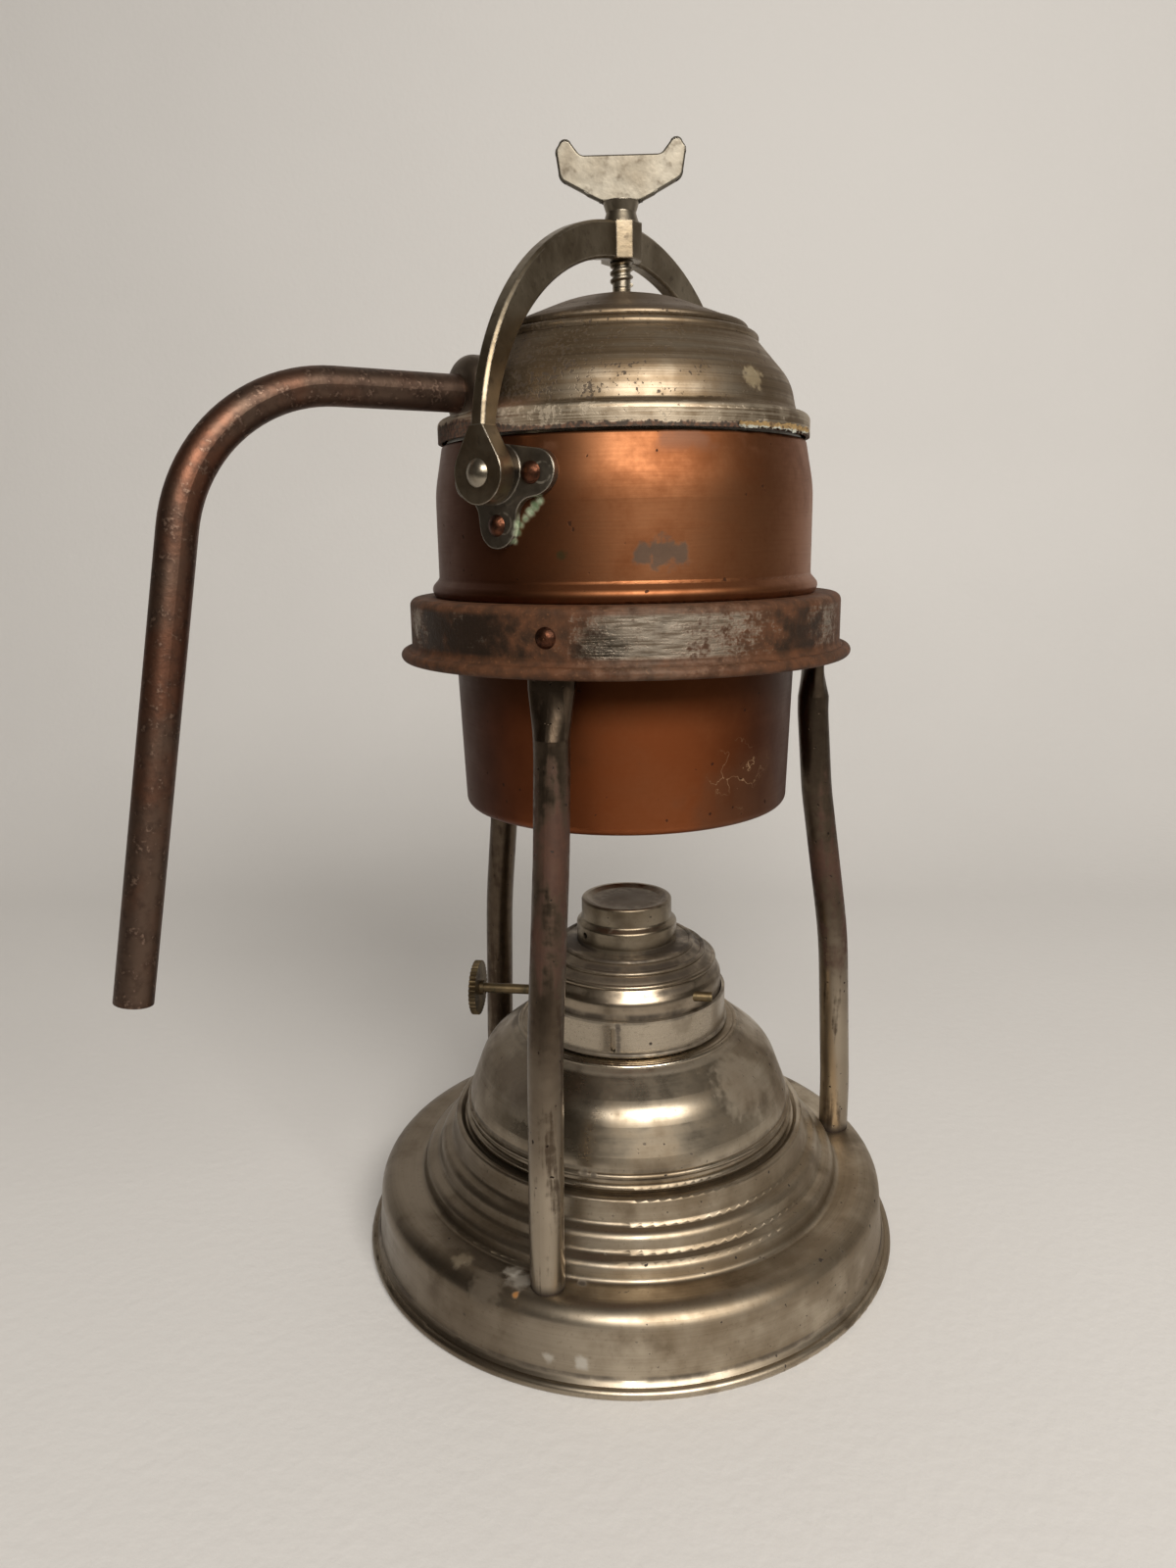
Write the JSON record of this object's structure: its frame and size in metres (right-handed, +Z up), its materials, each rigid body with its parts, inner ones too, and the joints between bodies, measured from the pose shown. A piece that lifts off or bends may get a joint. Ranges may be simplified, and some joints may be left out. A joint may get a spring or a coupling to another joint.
{
  "type": "spirit burner coffee maker",
  "caption": "Old steam coffee maker: copper boiler on a three-legged stand over a spirit burner, with a screw-clamped domed lid and a long bent spout pipe.",
  "frame": {"origin": "on the vertical axis of the base, at the plane it stands on", "axes": "+Z up through base, burner, boiler and wing screw; -Y towards the front; +X along the wick shaft to the right, as seen from the front"},
  "size_m": [0.2098, 0.1738, 0.3269],
  "materials": {
    "nickel_steel": "spun and nickel plated, tarnished warm grey",
    "rusty_steel": "worn plating over rusted steel",
    "worn_tube": "drawn tube with rust showing through thin nickel",
    "copper": "drawn copper, aged brown orange",
    "copper_rivet": "dark hammered copper",
    "dark_nickel": "cast and filed, dull nickel",
    "bright_nickel": "smooth nickel, lightly scratched",
    "lid_nickel": "spun lines with dark spots",
    "brown_pipe": "dark brown oxidised copper tube",
    "gasket": "pale fibre rubber",
    "tinned_sheet": "tinned sheet, dull",
    "brass_dull": "dull tarnished brass",
    "wick_cotton": "woven cotton, charred at the top"
  },
  "bodies": {
    "stand": {"base": "nickel_steel", "leg_front": "worn_tube", "leg_right": "worn_tube", "leg_rear": "worn_tube", "leg_nuts": "rusty_steel", "support_ring": "rusty_steel", "ring_rivets": "copper_rivet"},
    "boiler": {"boiler_pot": "copper", "bracket_front": "dark_nickel", "bracket_rear": "dark_nickel", "bracket_rivets": "copper_rivet", "pivot_pins": "bright_nickel", "coffee_basket": "tinned_sheet", "basket_plate": "tinned_sheet"},
    "lid": {"lid_dome": "lid_nickel", "outlet_boss": "dark_nickel", "spout_pipe": "brown_pipe", "lid_gasket": "gasket", "filter_plate": "tinned_sheet"},
    "yoke": {"yoke": "dark_nickel"},
    "foot": {"screw_foot": "dark_nickel"},
    "wing_screw": {"screw_spindle": "dark_nickel", "wing_plate": "bright_nickel"},
    "burner": {"fuel_tank": "nickel_steel", "tank_bottom": "tinned_sheet", "tank_collar": "nickel_steel"},
    "head": {"burner_head": "nickel_steel", "wick_tube": "brass_dull"},
    "wick_raiser": {"wick_shaft": "brass_dull", "star_wheel": "brass_dull", "wick_knob": "brass_dull"},
    "wick": {"wick": "wick_cotton"},
    "cap": {"snuffer_cap": "nickel_steel"}
  },
  "joints": [
    {"name": "boiler_lift", "type": "slide", "parent": "stand", "child": "boiler", "axis": [0, 0, 1], "range_m": [0, 0.07]},
    {"name": "lid_turn", "type": "hinge", "parent": "boiler", "child": "lid", "pos_m": [0, 0, 0.2498], "axis": [0, 0, 1], "range_deg": [-140, 5]},
    {"name": "yoke_swing", "type": "hinge", "parent": "boiler", "child": "yoke", "pos_m": [0, 0, 0.237], "axis": [0.5736, 0.8192, 0], "range_deg": [0, 95]},
    {"name": "screw_travel", "type": "slide", "parent": "yoke", "child": "foot", "axis": [0, 0, 1], "range_m": [0, 0.0104]},
    {"name": "screw_turn", "type": "hinge", "parent": "foot", "child": "wing_screw", "pos_m": [0, 0, 0.3], "axis": [0, 0, -1], "range_deg": [0, 1860]},
    {"name": "burner_lift", "type": "slide", "parent": "stand", "child": "burner", "axis": [0, 0, 1], "range_m": [0, 0.018]},
    {"name": "head_turn", "type": "hinge", "parent": "burner", "child": "head", "pos_m": [0, 0, 0.0716], "axis": [0, 0, 1], "range_deg": [-30, 30]},
    {"name": "knob_turn", "type": "hinge", "parent": "head", "child": "wick_raiser", "pos_m": [-0.00193, -0.0184, 0.086], "axis": [0.9945, -0.1045, 0], "range_deg": [-35, 35]},
    {"name": "wick_travel", "type": "slide", "parent": "head", "child": "wick", "axis": [0, 0, 1], "range_m": [-0.0046, 0.0046]},
    {"name": "cap_lift", "type": "slide", "parent": "head", "child": "cap", "axis": [0, 0, 1], "range_m": [0, 0.014]}
  ],
  "couplings": [
    {"joint": "screw_travel", "follows": "yoke_swing", "m_per_rad": 0.0062},
    {"joint": "screw_turn", "follows": "yoke_swing", "ratio": 19.478},
    {"joint": "knob_turn", "follows": "wick_travel", "rad_per_m": 131.58}
  ]
}
